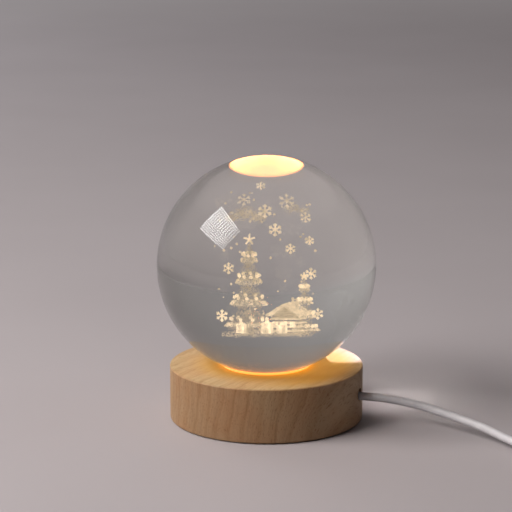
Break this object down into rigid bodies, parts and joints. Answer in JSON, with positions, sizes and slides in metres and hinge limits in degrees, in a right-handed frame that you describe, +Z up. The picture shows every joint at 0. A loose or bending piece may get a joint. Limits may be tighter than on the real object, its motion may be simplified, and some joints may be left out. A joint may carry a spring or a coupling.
{
  "type": "crystal ball lamp",
  "caption": "Small table lamp: a clear glass ball with a ground flat on a round wooden base with a warm LED light, a USB lead, an in-line rocker switch and a plug.",
  "frame": {"origin": "middle of the underside of the anti-slip pad, on the axis that the base and the ball share", "axes": "+Z up along the axis of the base and ball, +X towards the bore where the lead leaves the base"},
  "size_m": [0.203, 0.0854, 0.0974],
  "materials": {
    "clear_glass": "polished clear glass",
    "laser_points": "fine white cracks in the glass, lit cream from below",
    "beech_wood": "turned beech, thin matt oil",
    "opal_acrylic": "opal, lit from below",
    "circuit_board": "white solder mask",
    "led_package": "white package with phosphor",
    "black_ceramic": "matt",
    "zinc_steel": "zinc plated",
    "fibreboard": "pressed fibreboard",
    "foam_pad": "closed-cell foam",
    "lead_jacket": "soft light grey jacket",
    "red_core": "soft",
    "black_core": "soft",
    "nylon_tie": "milky nylon",
    "switch_shell": "moulded",
    "switch_rocker": "moulded",
    "brass_contact": "bright strip",
    "plug_grip": "fine texture",
    "nickel_steel": "nickel plated sheet",
    "black_insulator": "moulded"
  },
  "bodies": {
    "lamp": {"wooden_base": "beech_wood", "light_diffuser": "opal_acrylic", "led_board": "circuit_board", "led_chip_1": "led_package", "led_chip_2": "led_package", "led_chip_3": "led_package", "led_chip_4": "led_package", "led_chip_5": "led_package", "led_chip_6": "led_package", "board_resistor": "black_ceramic", "board_screw_1": "zinc_steel", "board_screw_2": "zinc_steel", "board_screw_3": "zinc_steel", "bottom_cover": "fibreboard", "cover_screw_1": "zinc_steel", "cover_screw_2": "zinc_steel", "cover_screw_3": "zinc_steel", "anti_slip_pad": "foam_pad", "lead_inside": "lead_jacket", "red_core": "red_core", "black_core": "black_core", "stop_tie": "nylon_tie", "lead_to_coil": "lead_jacket", "lead_coil": "lead_jacket", "coil_tie": "nylon_tie", "lead_to_switch": "lead_jacket", "switch_lower": "switch_shell", "switch_upper": "switch_shell", "switch_leaf": "brass_contact", "switch_fixed_contact": "brass_contact", "switch_screw_1": "zinc_steel", "switch_screw_2": "zinc_steel", "lead_to_plug": "lead_jacket", "plug_overmould": "plug_grip", "plug_shell": "nickel_steel", "plug_tongue": "black_insulator", "plug_contact_1": "brass_contact", "plug_contact_2": "brass_contact", "plug_contact_3": "brass_contact", "plug_contact_4": "brass_contact"},
    "ball": {"crystal_ball": "clear_glass", "laser_figure": "laser_points"},
    "rocker": {"switch_rocker": "switch_rocker"}
  },
  "joints": [
    {"name": "ball_lift", "type": "slide", "parent": "lamp", "child": "ball", "axis": [0, 0, 1], "range_m": [0, 0.06]},
    {"name": "switch_rock", "type": "hinge", "parent": "lamp", "child": "rocker", "pos_m": [0.1545, 0.001, 0.0099], "axis": [1, 0, 0], "range_deg": [0, 14]}
  ]
}
